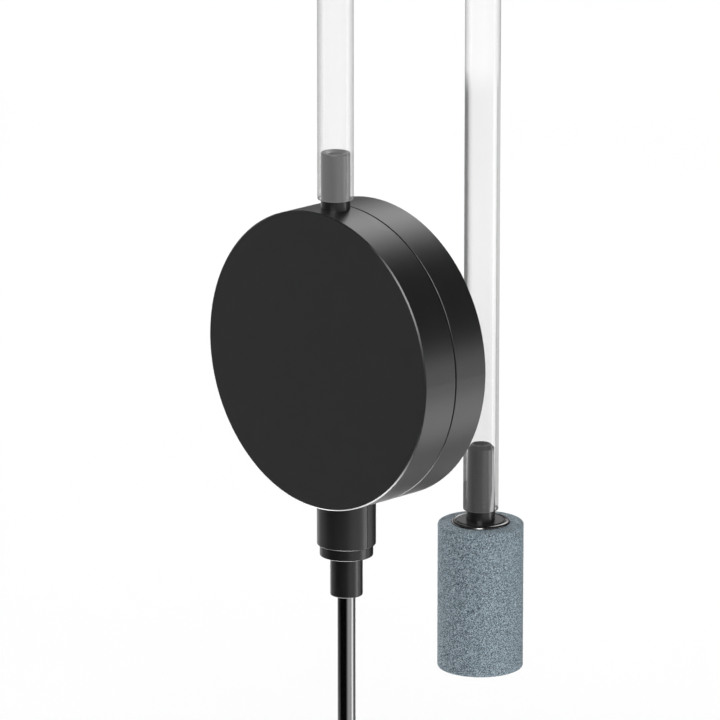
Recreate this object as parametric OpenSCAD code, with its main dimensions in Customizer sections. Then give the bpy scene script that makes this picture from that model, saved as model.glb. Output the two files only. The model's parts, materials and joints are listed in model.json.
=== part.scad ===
// Aquarium air pump: a disc-shaped piezo pump on a suction cup, its air hose
// looped over the tank wall to an air stone, and its supply cable.
//
// Frame: X to the right, Y into the tank, Z up. The origin is the centre of the
// suction cup's lip, on the glass. The disc's axis runs along Y through it.
// A depth is always measured from the housing's flat front face towards the tank.

/* [Housing] */
// Diameter of the disc-shaped housing
body_d = 44.5; // [44.2:0.1:46]
// Thickness of the housing, front face to rear face
body_t = 12.6; // [12.6:0.1:14]
// Thickness of the front and rear walls
wall_t = 1.5; // [1.3:0.1:1.5]
// Thickness of the rim wall
rim_t = 1.6; // [1.4:0.1:1.7]
// Width of the bevel round the front and rear edges
edge_bevel = 0.18; // [0.1:0.02:0.4]
// Width of the groove where the two shells meet
seam_w = 0.2; // [0.1:0.05:0.3]
// Depth of that groove
seam_cut = 0.35; // [0.2:0.05:0.4]

/* [Air outlet] */
// Outer diameter of the outlet nozzle
nozzle_d = 4.3; // [3.8:0.1:4.4]
// How far the nozzle stands out above the rim
nozzle_reach = 8.3; // [6:0.05:12]
// Depth of the nozzle's axis
nozzle_depth = 4.1; // [4:0.05:4.15]
// Diameter of the nozzle's bore
nozzle_bore = 2.1; // [1.6:0.1:2.2]

/* [Air hose] */
// Outer diameter of the air hose
hose_d = 5.3; // [5.2:0.1:7]
// Radial gap between the hose and the nozzle inside it
hose_gap = 0.05; // [0.02:0.01:0.1]
// Distance between the hose's two legs, one on each side of the tank wall
leg_pitch = 30.8; // [29:0.1:40]
// Height of the bend's centre above the disc's axis
bend_z = 54.5; // [45:0.5:80]
// Length of bare nozzle left below the hose
nozzle_bare = 1.4; // [1:0.05:2.5]

/* [Air stone] */
// Diameter of the air stone
stone_d = 12.9; // [11:0.1:14]
// Length of the air stone
stone_len = 22.5; // [18:0.5:30]
// Height of the air stone's top face
stone_z = -31.6; // [-45:0.1:-28]

/* [Cable] */
// Diameter of the supply cable
cable_d = 2.65; // [2.6:0.05:3]
// Height at which the modelled length of cable ends
cable_end_z = -62; // [-90:1:-50]
// Diameter of the collar that the two shells close round the cable grommet
collar_d = 8.7; // [8.4:0.1:9.2]
// Height of the collar's lower end
collar_z = -28.9; // [-31:0.1:-28.6]

/* [Suction cup] */
// Diameter of the suction cup's lip
cup_d = 25; // [22:0.5:30]
// Distance from the housing's rear face to the glass
cup_stand = 8.4; // [7.4:0.1:10]

/* [Pump] */
// Height of the pump's centre above the disc's axis
pump_z = 2.5; // [2.3:0.1:2.6]
// Diameter of the piezo element's brass plate
brass_d = 24; // [23.4:0.1:24.2]
// Diameter of the ceramic disc on the brass plate
ceramic_d = 19; // [18:0.1:19.4]
// Diameter of the valve flaps
flap_d = 3.8; // [3.4:0.1:4]

/* [Hidden] */
$fn = 128;
eps = 0.05; // overrun of a cutter past the face it opens
gap = 0.05; // clearance between pieces that only touch
film = 0.01; // clearance under a piece that is glued or soldered on

// Housing
body_r = body_d / 2;
bay_r = body_r - rim_t;
front_y = -(body_t + cup_stand);
seam_depth = body_t / 2;
seam_bevel = 0.05; // on each lip of the groove
back_depth = body_t - wall_t; // inner face of the rear wall
tongue_t = 0.7;
tongue_h = 0.8;
post_r = 2.1;
post_ring_r = bay_r - 3.25;
post_angles = [28, 152, 232, 308];
board_post_angles = [232, 308];
board_seat_r = 2.9;
screw_r = 0.95;
screw_head_r = 1.8;
screw_head_t = 1.1;

// Air outlet and hose
nozzle_r = nozzle_d / 2;
nozzle_top_z = body_r + nozzle_reach;
nozzle_tip = 0.15; // height of the bevel round the nozzle's tip
nozzle_mouth = 0.25; // depth of the funnel at the mouth of its bore
nozzle_mouth_r = 1.7;
stub_r = 1.6;
stub_z = bay_r - 1.75; // lower end of the stub inside the rim
spigot_z = stub_z - 0.3; // upper end of the pump's own spigot
hose_r = hose_d / 2;
hose_bore_r = nozzle_r + hose_gap;
hose_foot_z = body_r + nozzle_bare;
drop_depth = nozzle_depth + leg_pitch;

// Air stone and its nozzle
stone_r = stone_d / 2;
stone_bore_r = 1.65;
washer_r = 4.4;
washer_t = 0.15; // under the flange
bead_z = stone_z + 0.05; // centre of the washer's raised bead
flange_r = 3.6;
flange_t = 0.3;
stem_len = 9;
drop_foot_z = stone_z + 2.1; // lower end of the hose
drop_tip_z = stone_z + 12.2; // upper end of the stone's nozzle

// Cable, grommet and collar
cable_r = cable_d / 2;
fitting_edge_r = 0.15; // rounded lower edges of the collar, stop ring and sleeve
collar_r = collar_d / 2;
collar_bore_r = 2.6;
collar_seam_w = 0.08; // the seam closes almost to a line on the collar
collar_seam_cut = 0.12;
ring_r = 3.95;
ring_z = collar_z - 1.7;
sleeve_r = 2.4;
sleeve_z = collar_z - 7.8;
grip_r = 3.3;
grip_z = collar_z + 3.15;
grip_t = 0.9;
core_r = 0.44;
core_pitch = 0.9;
wire_r = 0.26;
gripped_r = cable_r - 0.2; // jacket squeezed inside the grommet
core_bare = 2.5; // length stripped at the cut end

// Suction cup and its socket in the rear shell
cup_r = cup_d / 2;
knob_r = 3.45;
knob_t = 1.55;
neck_r = 2.6;
socket_wall = 1;
socket_lip = 1.1;
socket_floor = 0.8;
socket_r = knob_r + 0.25;
socket_depth = body_t - socket_lip - 1.7; // where the socket's floor begins

// Pump stack, as depths
pad_t = 0.6;
pump_r = 14;
pump_depth = 2.1;
sheet_depth = pump_depth + 4;
sheet_t = 0.3;
plate_depth = sheet_depth + sheet_t;
plate_t = 0.8;
surround_depth = plate_depth + plate_t;
brass_depth = surround_depth + 0.5;
brass_t = 0.2;
ceramic_depth = brass_depth + brass_t;
ceramic_t = 0.22;
clamp_depth = ceramic_depth + 0.4;
clamp_t = 1;
clamp_overlap = 0.6; // how far the clamp ring reaches over the brass plate
clamp_back = clamp_depth + clamp_t;
plate_r = pump_r - 0.1;
ear_r = 1.9;
ear_ring_r = 15.3;
ear_angles = [38, 142, 218, 322];
clamp_screw_r = 0.65;

// Valves: each flap hangs on a hinge line nearer the pump's centre than its port
flap_r = flap_d / 2;
port_r = 1.1;
hinge_reach = 3; // hinge line to port centre
port_offset = 5.5; // pump centre to port centre
inlet_z = pump_z - port_offset;
outlet_z = pump_z + port_offset;
flap_neck = 2.4;
flap_play = 0.25; // gap round a flap in the sheet
swing_play = 0.4; // gap round a flap that swings into a recess
bead_r = sheet_t / 2;

// Circuit board
board_depth = seam_depth + core_r + 0.02;
board_t = 0.8;
board_back = board_depth + board_t;
board_r = bay_r - 0.75;
board_top_z = pump_z - 14.5;
core_end_z = board_top_z - 5;
wire_end_z = core_end_z + 1.05;
lead_x = 4.4;
lead_board_z = board_top_z - 1;
lead_r = 0.22;
brass_pad_z = pump_z - 9.4;
ceramic_pad_z = pump_z - 7.1;
pad_solder_r = 0.55;
pad_solder_t = 0.33;
inductor_x = -5.7;
inductor_z = board_top_z - 4.1;
inductor_r = 2.5;
inductor_h = 3.4;
inductor_waist_r = 1.3;
inductor_flange_t = 0.6;

// Intake
intake_z = -16.2;
vent_r = 0.6;
vent_pitch = 2;
filter_r = 3.6;
filter_t = 1;

// Points on an arc, from angle a to angle b
function arc(cx, cy, r, a, b, n = 8) =
  [for (i = [0 : n]) [cx + r * cos(a + (b - a) * i / n), cy + r * sin(a + (b - a) * i / n)]];

// Puts children at (x, z) and a depth, their own Z axis pointing towards the tank
module at(x, z, depth) {
  translate([x, front_y + depth, z])
    rotate([-90, 0, 0])
      children();
}

// A round bar along Y, from depth a to depth b
module bar(r, a, b, x = 0, z = 0) {
  at(x, z, a)
    cylinder(r = r, h = b - a);
}

// A round bar along Z at a given depth, from height a to height b
module upright(r, a, b, depth, x = 0) {
  translate([x, front_y + depth, a])
    cylinder(r = r, h = b - a);
}

// A box between two depths and two heights, centred on x
module block(w, a, b, low, high, x = 0) {
  translate([x - w / 2, front_y + a, low])
    cube([w, b - a, high - low]);
}

// A solid turned about the disc's axis, from an outline of [radius, depth] points
module turned(outline) {
  at(0, 0, 0)
    rotate_extrude()
      polygon(outline);
}

// Places children at each angle of a ring in the XZ plane
module on_ring(r, angles, z = 0) {
  for (a = angles)
    translate([r * cos(a), 0, z + r * sin(a)])
      children();
}

// ---- Housing ----

// One shell's outside: a disc with a bevelled edge up to the seam, stepped in at its groove
module shell_disc() {
  turned([
    [0, 0],
    [body_r - edge_bevel, 0],
    [body_r, edge_bevel],
    [body_r, seam_depth - seam_w / 2 - seam_bevel],
    [body_r - seam_bevel, seam_depth - seam_w / 2],
    [body_r - seam_cut, seam_depth - seam_w / 2],
    [body_r - seam_cut, seam_depth],
    [0, seam_depth]
  ]);
}

// The rear shell's outside is the front one mirrored about the seam
module rear_disc() {
  translate([0, 2 * (front_y + seam_depth), 0])
    mirror([0, 1, 0])
      shell_disc();
}

// The cable collar, whole, with its lower edge rounded
module collar() {
  translate([0, front_y + seam_depth, 0])
    rotate_extrude()
      polygon(concat(
        [[0, -bay_r], [0, collar_z]],
        arc(collar_r - fitting_edge_r, collar_z + fitting_edge_r, fitting_edge_r, -90, 0),
        [[collar_r, -bay_r]]
      ));
}

// The groove that the seam leaves on each side of the collar
module collar_grooves(a, b) {
  for (side = [-1, 1])
    block(collar_seam_cut + eps, a, b, collar_z - eps, -body_r + 0.8,
      side * (collar_r - collar_seam_cut / 2 + eps / 2));
}

// The passage through the collar for the grommet, with a ring groove for its grip
module collar_bore() {
  upright(collar_bore_r, collar_z - eps, -bay_r + 1, seam_depth);
  upright(grip_r + gap, grip_z - gap, grip_z + grip_t + gap, seam_depth);
}

module front_housing() {
  color([0.13, 0.13, 0.14])
    difference() {
      union() {
        difference() {
          union() {
            shell_disc();
            intersection() {
              collar();
              block(2 * body_r, 0, seam_depth, collar_z - 1, 0);
            }
            outlet_nozzle();
          }
          bar(bay_r, wall_t, seam_depth + eps);
          collar_grooves(seam_depth - collar_seam_w / 2, seam_depth + eps);
        }
        // screw posts
        on_ring(post_ring_r, post_angles)
          bar(post_r, wall_t - eps, seam_depth);
        // tongue that locates the rear shell
        difference() {
          bar(bay_r + tongue_t, seam_depth - eps, seam_depth + tongue_h);
          bar(bay_r, seam_depth - 2 * eps, seam_depth + tongue_h + eps);
        }
        // stub that the outlet seal slips over
        upright(stub_r, stub_z, bay_r + 0.6, nozzle_depth);
      }
      upright(nozzle_bore / 2, stub_z - eps, nozzle_top_z + eps, nozzle_depth);
      translate([0, front_y + nozzle_depth, nozzle_top_z - nozzle_mouth])
        cylinder(r1 = nozzle_bore / 2, r2 = nozzle_mouth_r, h = nozzle_mouth + film);
      collar_bore();
      on_ring(post_ring_r, post_angles)
        bar(screw_r + gap, wall_t + 1.1, seam_depth + eps);
    }
}

// The nozzle that the hose slips over, moulded on the front shell
module outlet_nozzle() {
  translate([0, front_y + nozzle_depth, 0])
    rotate_extrude()
      polygon([
        [0, body_r - rim_t / 2],
        [nozzle_r, body_r - rim_t / 2],
        [nozzle_r, nozzle_top_z - nozzle_tip],
        [nozzle_r - nozzle_tip * 0.7, nozzle_top_z],
        [0, nozzle_top_z]
      ]);
}

module rear_housing() {
  color([0.12, 0.12, 0.13])
    difference() {
      union() {
        difference() {
          union() {
            rear_disc();
            intersection() {
              collar();
              block(2 * body_r, seam_depth, body_t, collar_z - 1, 0);
            }
          }
          bar(bay_r, seam_depth - eps, back_depth);
          bar(bay_r + tongue_t + gap, seam_depth - eps, seam_depth + tongue_h + gap);
          collar_grooves(seam_depth - eps, seam_depth + collar_seam_w / 2);
        }
        // screw posts
        on_ring(post_ring_r, post_angles)
          bar(post_r, seam_depth + gap, back_depth + eps);
        // shoulders that carry the circuit board
        on_ring(post_ring_r, board_post_angles)
          bar(board_seat_r, board_back + gap, back_depth + eps);
        // socket that holds the suction cup's knob
        bar(socket_r + socket_wall, socket_depth - socket_floor, back_depth + eps);
      }
      bar(socket_r, socket_depth, body_t - socket_lip);
      bar(neck_r + 0.15, socket_depth, body_t + eps);
      collar_bore();
      on_ring(post_ring_r, post_angles) {
        bar(screw_r + 0.2, seam_depth - eps, body_t + eps);
        bar(screw_head_r + 0.25, back_depth, body_t + eps);
      }
      intake_vents();
    }
}

// Seven vent holes through the rear wall: one in the middle and six round it
module intake_vents() {
  bar(vent_r, back_depth - eps, body_t + eps, 0, intake_z);
  on_ring(vent_pitch, [for (i = [0 : 5]) 30 + 60 * i], intake_z)
    bar(vent_r, back_depth - eps, body_t + eps);
}

module housing_screws() {
  slot_l = 2;
  slot_w = 0.45;
  color([0.6, 0.6, 0.62])
    on_ring(post_ring_r, post_angles)
      difference() {
        union() {
          bar(screw_r, wall_t + 1.4, back_depth + eps);
          bar(screw_head_r, back_depth + gap / 2, back_depth + screw_head_t);
        }
        // cross recess
        for (turn = [0, 90])
          at(0, 0, back_depth + screw_head_t - 0.6)
            rotate([0, 0, turn])
              translate([-slot_l / 2, -slot_w / 2, 0])
                cube([slot_l, slot_w, 1]);
      }
}

// ---- Suction cup ----

module suction_cup() {
  lip_t = 0.6; // width of the flat ring that lies on the glass
  collar_t = 1.4; // straight part behind the housing
  shoulder_r = 4.2;
  top = body_t + gap;
  lip_depth = body_t + cup_stand;
  flare_depth = top + collar_t;
  flare_run = cup_r - shoulder_r;
  flare_rise = lip_depth - 0.7 - flare_depth;
  dome_rise = 3.6; // hollow under the cup
  dome_r = cup_r - 0.2 - lip_t;
  steps = 20;
  color([0.75, 0.77, 0.78])
    turned(concat(
      [
        [0, body_t - socket_lip - gap - knob_t],
        [knob_r - 0.3, body_t - socket_lip - gap - knob_t],
        [knob_r, body_t - socket_lip - gap - knob_t + 0.5],
        [knob_r, body_t - socket_lip - gap],
        [neck_r, body_t - socket_lip - gap],
        [neck_r, top],
        [shoulder_r, top]
      ],
      // bell-shaped back, from the shoulder to the lip
      [for (i = [0 : steps]) let (t = i / steps)
        [shoulder_r + flare_run * sin(90 * t) ^ 1.15, flare_depth + flare_rise * (1 - cos(90 * t))]],
      [
        [cup_r, lip_depth - 0.2],
        [cup_r - 0.2, lip_depth],
        [dome_r, lip_depth]
      ],
      // shallow dome of the hollow
      [for (i = [1 : steps]) let (t = 1 - i / steps)
        [dome_r * t, lip_depth - dome_rise * (1 - t ^ 2)]]
    ));
}

// ---- Cable ----

// Moulded grommet: grip ring inside the collar, stop ring below it, strain-relief sleeve
module cable_grommet() {
  fillet = fitting_edge_r;
  top = -bay_r - 2.5;
  color([0.1, 0.1, 0.1])
    translate([0, front_y + seam_depth, 0])
      rotate_extrude()
        polygon(concat(
          [[gripped_r + 0.02, top], [gripped_r + 0.02, sleeve_z]],
          arc(sleeve_r - fillet, sleeve_z + fillet, fillet, -90, 0),
          [[sleeve_r, ring_z]],
          arc(ring_r - fillet, ring_z + fillet, fillet, -90, 0),
          [
            [ring_r, collar_z - gap / 2],
            [collar_bore_r - gap, collar_z - gap / 2],
            [collar_bore_r - gap, grip_z],
            [grip_r, grip_z],
            [grip_r, grip_z + grip_t],
            [collar_bore_r - gap, grip_z + grip_t],
            [collar_bore_r - gap, top]
          ]
        ));
}

// Outer jacket, narrower where the grommet grips it
module cable_jacket() {
  bore = core_pitch / 2 + core_r + film;
  color([0.07, 0.07, 0.07])
    difference() {
      union() {
        upright(cable_r, cable_end_z, sleeve_z - gap, seam_depth);
        upright(gripped_r, sleeve_z - 2 * gap, -bay_r - 1, seam_depth);
      }
      upright(bore, cable_end_z - eps, -bay_r, seam_depth);
    }
}

module cable_cores() {
  color([0.45, 0.2, 0.12])
    for (side = [-1, 1])
      difference() {
        upright(core_r, cable_end_z - core_bare, core_end_z, seam_depth, side * core_pitch / 2);
        upright(wire_r + film, cable_end_z - core_bare - eps, core_end_z + eps, seam_depth,
          side * core_pitch / 2);
      }
}

module cable_conductors() {
  color([0.8, 0.45, 0.25])
    for (side = [-1, 1])
      upright(wire_r, cable_end_z - 2 * core_bare, wire_end_z, seam_depth,
        side * core_pitch / 2);
}

// ---- Hose and stone ----

// One continuous tube: up from the nozzle, over the tank wall and down to the stone
module air_hose() {
  middle = nozzle_depth + leg_pitch / 2;
  color([0.85, 0.88, 0.9, 0.45])
    union() {
      hose_leg(hose_foot_z, nozzle_depth);
      hose_leg(drop_foot_z, drop_depth);
      translate([0, front_y + middle, bend_z])
        rotate([90, 0, 90])
          rotate_extrude(angle = 180)
            translate([leg_pitch / 2, 0])
              difference() {
                circle(r = hose_r);
                circle(r = hose_bore_r);
              }
    }
}

module hose_leg(foot, depth) {
  difference() {
    upright(hose_r, foot, bend_z, depth);
    upright(hose_bore_r, foot - eps, bend_z + eps, depth);
  }
}

// Tapered nozzle with a flange on the stone and a stem in the stone's bore
module stone_nozzle() {
  bore = 1.2;
  lip = 0.25; // flat ring round the mouth
  bevel = 0.6;
  stem_r = stone_bore_r - gap;
  seat = stone_z + washer_t;
  color([0.11, 0.11, 0.12])
    translate([0, front_y + drop_depth, 0])
      rotate_extrude()
        polygon([
          [bore, drop_tip_z],
          [bore, stone_z + 1],
          [stem_r - 0.5, stone_z],
          [stem_r - 0.5, stone_z - stem_len],
          [stem_r - 0.2, stone_z - stem_len],
          [stem_r, stone_z - stem_len + 0.4],
          [stem_r, seat],
          [flange_r, seat],
          [flange_r, seat + flange_t - 0.1],
          [flange_r - 0.1, seat + flange_t],
          [nozzle_r + 0.05, seat + flange_t],
          [nozzle_r, drop_foot_z],
          [nozzle_r - 0.15, drop_tip_z - bevel],
          [bore + lip, drop_tip_z]
        ]);
}

// Rubber washer: flat under the flange, with a raised bead round the flange's rim
module stone_washer() {
  bead_t = washer_r - flange_r - gap;
  inner = stone_bore_r + gap;
  outer_foot = asin((stone_z - bead_z) / (bead_t / 2)); // where the bead meets the stone
  inner_foot = 180 - asin((stone_z + washer_t - bead_z) / (bead_t / 2));
  color([0.09, 0.09, 0.09])
    translate([0, front_y + drop_depth, 0])
      rotate_extrude()
        polygon(concat(
          [[inner, stone_z + washer_t - film], [inner, stone_z]],
          arc(washer_r - bead_t / 2, bead_z, bead_t / 2, outer_foot, inner_foot, 14)
        ));
}

// Porous stone with a blind bore for the nozzle's stem
module air_stone() {
  round_r = 0.3;
  low = stone_z - stone_len;
  bore_end = stone_z - stem_len - 4;
  color([0.47, 0.52, 0.55])
    translate([0, front_y + drop_depth, 0])
      rotate_extrude()
        polygon(concat(
          [[0, bore_end], [0, low]],
          arc(stone_r - round_r, low + round_r, round_r, -90, 0, 6),
          arc(stone_r - round_r, stone_z - round_r, round_r, 0, 90, 6),
          [[stone_bore_r, stone_z], [stone_bore_r, bore_end]]
        ));
}

// ---- Pump ----

// The space that a flap needs beyond its own plane, from its hinge line outwards.
// way is -1 for a flap that hangs down from its hinge and 1 for one that stands up.
module swing_space(play, a, b, port_z, way) {
  bar(flap_r + play, a, b, 0, port_z);
  low = min(port_z, port_z - way * (hinge_reach + 0.1));
  high = max(port_z, port_z - way * (hinge_reach + 0.1));
  block(flap_neck + 2 * play, a, b, low, high);
}

// Moulded body: inlet port, outlet chamber and the spigot up to the outlet
module pump_body() {
  color([0.85, 0.84, 0.8])
    difference() {
      union() {
        bar(pump_r, pump_depth, sheet_depth, 0, pump_z);
        on_ring(ear_ring_r, ear_angles, pump_z)
          bar(ear_r, pump_depth, sheet_depth);
        upright(stub_r, pump_z + pump_r - 1, spigot_z, nozzle_depth);
      }
      bar(port_r, pump_depth - eps, sheet_depth + eps, 0, inlet_z);
      swing_space(swing_play, pump_depth + 1, sheet_depth + eps, outlet_z, 1);
      upright(nozzle_bore / 2 - 0.15, outlet_z, spigot_z + eps, nozzle_depth);
      on_ring(ear_ring_r, ear_angles, pump_z)
        bar(clamp_screw_r + gap, pump_depth + 0.8, sheet_depth + eps);
    }
}

// Soft sleeve that joins the pump's spigot to the stub inside the housing
module outlet_seal() {
  bore = stub_r + 0.02;
  color([0.75, 0.3, 0.2])
    difference() {
      upright(stub_r + 0.8, spigot_z - 1.9, stub_z + 1.5, nozzle_depth);
      upright(bore, spigot_z - 1.9 - eps, stub_z + 1.5 + eps, nozzle_depth);
    }
}

// Thin rubber sheet, with a window round each flap
module valve_sheet() {
  color([0.3, 0.32, 0.33])
    difference() {
      bar(plate_r, sheet_depth, plate_depth, 0, pump_z);
      flap_window(inlet_z, -1);
      flap_window(outlet_z, 1);
    }
}

module flap_window(port_z, way) {
  bar(flap_r + flap_play, sheet_depth - eps, plate_depth + eps, 0, port_z);
  hinge_z = port_z - way * (hinge_reach + bead_r + gap);
  block(flap_neck + 2 * flap_play, sheet_depth - eps, plate_depth + eps,
    min(port_z, hinge_z), max(port_z, hinge_z));
}

// A round flap on a neck, with a bead along its hinge line
module flap(port_z, way) {
  hinge_z = port_z - way * hinge_reach;
  bar(flap_r, sheet_depth, plate_depth, 0, port_z);
  block(flap_neck, sheet_depth, plate_depth, min(port_z, hinge_z), max(port_z, hinge_z));
  translate([-flap_neck / 2, front_y + sheet_depth + bead_r, hinge_z])
    rotate([0, 90, 0])
      cylinder(r = bead_r, h = flap_neck);
}

// Hangs over the inlet port and opens towards the piezo element
module inlet_flap() {
  color([0.42, 0.45, 0.47])
    flap(inlet_z, -1);
}

// Stands over the outlet port and opens into the pump body
module outlet_flap() {
  color([0.42, 0.45, 0.47])
    flap(outlet_z, 1);
}

// Stiff plate between the sheet and the pressure chamber
module valve_plate() {
  color([0.9, 0.9, 0.86])
    difference() {
      bar(plate_r, plate_depth, surround_depth, 0, pump_z);
      swing_space(swing_play, plate_depth - eps, surround_depth + eps, inlet_z, -1);
      bar(port_r, plate_depth - eps, surround_depth + eps, 0, outlet_z);
    }
}

// Soft ring that holds the piezo element's edge and seals the pressure chamber
module diaphragm_surround() {
  inner = brass_d / 2 - 0.8;
  outer = pump_r - 0.4;
  color([0.25, 0.25, 0.26])
    difference() {
      bar(outer, surround_depth, clamp_depth, 0, pump_z);
      bar(inner, surround_depth - eps, clamp_depth + eps, 0, pump_z);
      bar(brass_d / 2, brass_depth, ceramic_depth, 0, pump_z);
    }
}

module piezo_plate() {
  color([0.82, 0.66, 0.3])
    bar(brass_d / 2, brass_depth, ceramic_depth, 0, pump_z);
}

module piezo_ceramic() {
  color([0.87, 0.86, 0.8])
    bar(ceramic_d / 2, ceramic_depth, ceramic_depth + ceramic_t, 0, pump_z);
}

// Stiff ring that presses the surround on the valve plate
module clamp_ring() {
  inner = brass_d / 2 - clamp_overlap;
  color([0.2, 0.21, 0.22])
    difference() {
      union() {
        bar(plate_r, clamp_depth, clamp_back, 0, pump_z);
        on_ring(ear_ring_r, ear_angles, pump_z)
          bar(ear_r, clamp_depth, clamp_back);
      }
      bar(inner, clamp_depth - eps, clamp_back + eps, 0, pump_z);
      on_ring(ear_ring_r, ear_angles, pump_z)
        bar(clamp_screw_r + 0.15, clamp_depth - eps, clamp_back + eps);
    }
}

module clamp_screws() {
  head_r = 1.25;
  head_t = 0.75;
  slot_w = 0.3;
  slot_cut = 0.35;
  color([0.7, 0.7, 0.72])
    on_ring(ear_ring_r, ear_angles, pump_z)
      difference() {
        union() {
          bar(clamp_screw_r, pump_depth + 1, clamp_back + eps);
          bar(head_r, clamp_back + film, clamp_back + head_t);
        }
        block(1.6, clamp_back + head_t - slot_cut, clamp_back + head_t + eps,
          -slot_w / 2, slot_w / 2);
      }
}

// Soft pads that keep the pump's vibration off the front wall
module front_pads() {
  pad_r = 2;
  off = 8;
  color([0.28, 0.28, 0.3])
    for (x = [-off, off], z = [-off, off])
      bar(pad_r, wall_t + film, pump_depth - film, x, pump_z + z);
}

// Foam posts between the clamp ring and the rear wall
module rear_pads() {
  post = 1.1;
  ring = (plate_r + brass_d / 2 - clamp_overlap) / 2;
  color([0.28, 0.28, 0.3])
    on_ring(ring, [0, 90, 180, 270], pump_z)
      bar(post, clamp_back + film, back_depth - film);
}

// ---- Circuit board ----

// Board in the bay below the pump, cut to the housing's curve
module circuit_board() {
  color([0.1, 0.35, 0.2])
    difference() {
      intersection() {
        bar(board_r, board_depth, board_back);
        block(2 * board_r, board_depth, board_back, -board_r, board_top_z);
      }
      on_ring(post_ring_r, board_post_angles)
        bar(post_r + 0.15, board_depth - eps, board_back + eps);
    }
}

// Eight-pin chip on the rear of the board
module driver_chip() {
  pitch = 1.27;
  length = 4.9;
  width = 3.9;
  z = board_top_z - 3;
  color([0.12, 0.12, 0.13]) {
    block(length, board_back + 0.15, board_back + 1.5, z - width / 2, z + width / 2);
    for (i = [0 : 3], side = [-1, 1])
      chip_pin((i - 1.5) * pitch, z, side);
  }
}

// A pin: out from the body, then down to the board
module chip_pin(x, z, side) {
  pin_w = 0.4;
  inner = z + side * 1.9;
  outer = z + side * 2.8;
  foot = z + side * 2.3;
  block(pin_w, board_back + 0.55, board_back + 0.75, min(inner, outer), max(inner, outer), x);
  block(pin_w, board_back + film, board_back + 0.7, min(foot, outer), max(foot, outer), x);
}

// Ferrite drum of the step-up inductor
module inductor_core() {
  face = board_depth - film;
  color([0.25, 0.25, 0.27]) {
    bar(inductor_r, face - inductor_flange_t, face, inductor_x, inductor_z);
    bar(inductor_waist_r, face - inductor_h + 0.1, face - 0.1, inductor_x, inductor_z);
    bar(inductor_r, face - inductor_h, face - inductor_h + inductor_flange_t, inductor_x,
      inductor_z);
  }
}

module inductor_winding() {
  face = board_depth - film;
  play = 0.02;
  a = face - inductor_h + inductor_flange_t + play;
  b = face - inductor_flange_t - play;
  color([0.75, 0.4, 0.2])
    difference() {
      bar(inductor_r - 0.2, a, b, inductor_x, inductor_z);
      bar(inductor_waist_r + play, a - eps, b + eps, inductor_x, inductor_z);
    }
}

// Can capacitor on a square foot
module capacitor() {
  x = 5.7;
  z = board_top_z - 3.9;
  face = board_depth - film;
  foot = 4.3;
  foot_t = 0.7;
  can_r = 2;
  color([0.75, 0.76, 0.78]) {
    block(foot, face - foot_t, face, z - foot / 2, z + foot / 2, x);
    bar(can_r, face - 4.2, face - foot_t + eps, x, z);
  }
}

// Six small resistors and capacitors on the rear of the board
module chip_parts() {
  length = 1.6;
  width = 0.8;
  color([0.55, 0.45, 0.3])
    for (x = [-6.9, 6.9], i = [0 : 2])
      let (top = board_top_z - 1 - 2 * width * i)
        block(length, board_back + film, board_back + 0.6, top - width, top, x);
}

// Solder where the cable's wires and the piezo leads meet the board
module board_solder() {
  wire_joint_r = 0.4;
  color([0.75, 0.75, 0.77]) {
    for (side = [-1, 1]) {
      bar(wire_joint_r, board_depth - 0.75, board_depth - film,
        side * core_pitch / 2, wire_end_z + wire_joint_r + 0.02);
      bar(pad_solder_r, board_back + film, board_back + 0.3, side * lead_x, lead_board_z);
    }
  }
}

// Solder joints that move with the piezo element
module piezo_solder() {
  color([0.78, 0.78, 0.8]) {
    bar(pad_solder_r, ceramic_depth + film, ceramic_depth + pad_solder_t, lead_x, brass_pad_z);
    bar(pad_solder_r, ceramic_depth + ceramic_t + film,
      ceramic_depth + ceramic_t + pad_solder_t, -lead_x, ceramic_pad_z);
  }
}

// A bent wire through a list of [x, z, depth] points
module lead(points) {
  for (i = [0 : len(points) - 2])
    hull()
      for (p = [points[i], points[i + 1]])
        translate([p[0], front_y + p[2], p[1]])
          sphere(r = lead_r, $fn = 16);
}

// Two thin leads from the board, over the clamp ring, to the piezo element
module piezo_leads() {
  over = clamp_back + lead_r + 0.2;
  start = board_back + 0.32 + lead_r;
  reach = ceramic_depth + pad_solder_t + lead_r + 0.02;
  color([0.7, 0.12, 0.1]) {
    lead([
      [lead_x, lead_board_z, start],
      [lead_x, lead_board_z + 0.4, over],
      [lead_x, brass_pad_z - 0.7, over],
      [lead_x, brass_pad_z, reach]
    ]);
    lead([
      [-lead_x, lead_board_z, start],
      [-lead_x, lead_board_z + 0.4, over],
      [-lead_x, ceramic_pad_z - 2.5, over],
      [-lead_x, ceramic_pad_z, reach + ceramic_t]
    ]);
  }
}

// Felt disc behind the intake vents
module intake_filter() {
  color([0.8, 0.8, 0.76])
    bar(filter_r, back_depth - filter_t, back_depth - film, 0, intake_z);
}

front_housing();
rear_housing();
housing_screws();
suction_cup();
cable_grommet();
cable_jacket();
cable_cores();
cable_conductors();
air_hose();
stone_nozzle();
stone_washer();
air_stone();
pump_body();
outlet_seal();
valve_sheet();
inlet_flap();
outlet_flap();
valve_plate();
diaphragm_surround();
piezo_plate();
piezo_ceramic();
clamp_ring();
clamp_screws();
front_pads();
rear_pads();
circuit_board();
driver_chip();
inductor_core();
inductor_winding();
capacitor();
chip_parts();
board_solder();
piezo_solder();
piezo_leads();
intake_filter();
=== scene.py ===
"""Looks of the aquarium air pump: a satin black disc on a suction cup, with its clear hose,
porous air stone and supply cable, hung over a plain pale floor in soft studio light."""

import json
import math

import bmesh
import bpy
from mathutils import Matrix, Vector, noise


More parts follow.
